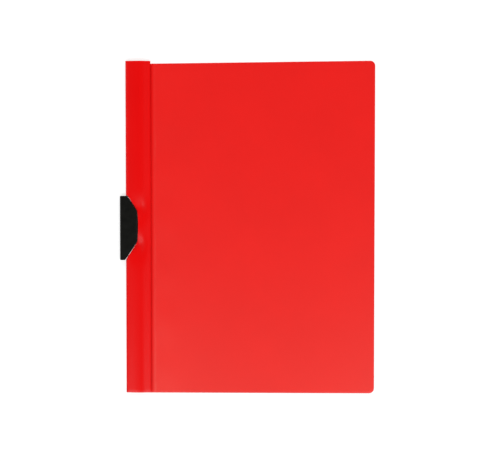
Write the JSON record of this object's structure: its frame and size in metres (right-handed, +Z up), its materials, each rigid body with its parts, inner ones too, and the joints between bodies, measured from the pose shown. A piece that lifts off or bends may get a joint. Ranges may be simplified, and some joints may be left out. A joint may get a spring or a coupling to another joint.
{
  "type": "clip file",
  "caption": "Flat report folder of coloured film with a clear front cover and a swinging spring-steel spine clip that grips loose sheets.",
  "frame": {"origin": "centre of the bounding box at its bottom, on the table plane under the closed file", "axes": "+X from the spine to the free edge, +Y along the spine towards the top of the file, +Z up from the table"},
  "size_m": [0.238, 0.3107, 0.0046],
  "materials": {
    "red_film": "satin polypropylene film with a fine pressed grain",
    "clear_film": "clear film with a frosted, slightly milky surface",
    "sleeve_plastic": "natural plastic tube",
    "black_steel": "black satin enamel",
    "steel_wire": "drawn wire"
  },
  "bodies": {
    "back": {"back_panel": "red_film", "spine_fold_upper": "red_film", "spine_fold_lower": "red_film", "wire_sleeve_upper": "sleeve_plastic", "wire_sleeve_lower": "sleeve_plastic"},
    "strip": {"front_strip": "red_film", "weld_flap": "clear_film"},
    "cover": {"front_cover": "clear_film"},
    "wire": {"hinge_wire": "steel_wire"},
    "clip": {"spring_clip": "black_steel"}
  },
  "joints": [
    {"name": "strip_lift", "type": "hinge", "parent": "back", "child": "strip", "pos_m": [-0.1116, 0, 0.0028], "axis": [0, -1, 0], "range_deg": [0, 25]},
    {"name": "cover_open", "type": "hinge", "parent": "strip", "child": "cover", "pos_m": [-0.0858, 0, 0.0012], "axis": [0, -1, 0], "range_deg": [0, 155]},
    {"name": "clip_swing", "type": "hinge", "parent": "back", "child": "wire", "pos_m": [-0.1116, 0, 0.0014], "axis": [0, -1, 0], "range_deg": [0, 110]},
    {"name": "clip_pull", "type": "slide", "parent": "wire", "child": "clip", "axis": [-1, 0, 0], "range_m": [0, 0.0078]}
  ]
}
